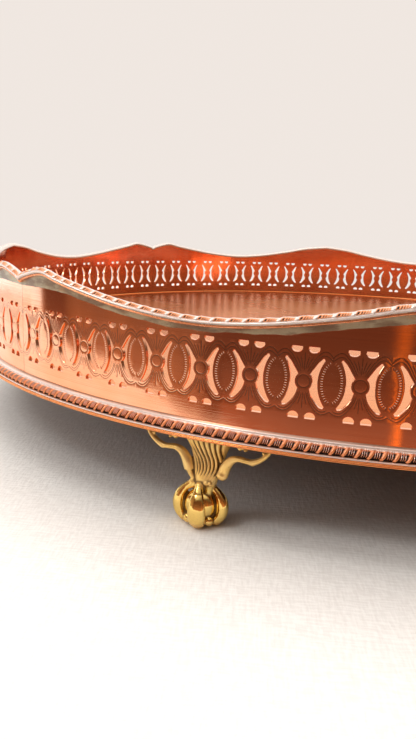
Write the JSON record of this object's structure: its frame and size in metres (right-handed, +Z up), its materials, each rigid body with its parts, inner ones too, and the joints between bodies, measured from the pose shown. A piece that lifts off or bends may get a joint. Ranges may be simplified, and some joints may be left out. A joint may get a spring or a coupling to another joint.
{
  "type": "footed gallery tray",
  "caption": "Round copper serving tray with a pierced wavy gallery, stamped borders and cast brass claw-and-ball feet.",
  "frame": {"origin": "on the table under the tray's centre", "axes": "+Z up out of the tray; -Y through the middle of the gallery panel that ends at notches 45 degrees to either side"},
  "size_m": [0.3308, 0.3308, 0.0588],
  "materials": {
    "copper_wall": "polished copper sheet with fine horizontal brush lines and warm patina",
    "copper_floor": "satin copper, wiped and lightly scratched by use",
    "stamped_mount": "die-stamped copper strip with bright worn ridges and dark recesses",
    "cast_brass": "cast brass, polished on the ball and claws, darkened in the recesses"
  },
  "bodies": {
    "root": {"claw_foot_1": "cast_brass", "claw_foot_2": "cast_brass", "claw_foot_3": "cast_brass", "claw_foot_4": "cast_brass", "gadroon_mount_1": "stamped_mount", "gadroon_mount_2": "stamped_mount", "gadroon_mount_3": "stamped_mount", "gadroon_mount_4": "stamped_mount", "gallery_panel_1": "copper_wall", "gallery_panel_2": "copper_wall", "gallery_panel_3": "copper_wall", "gallery_panel_4": "copper_wall", "rim_fillet_1": "copper_wall", "rim_fillet_2": "copper_wall", "rim_fillet_3": "copper_wall", "rim_fillet_4": "copper_wall", "rim_mount_1": "stamped_mount", "rim_mount_2": "stamped_mount", "rim_mount_3": "stamped_mount", "rim_mount_4": "stamped_mount", "tray_base": "copper_floor"}
  },
  "joints": []
}
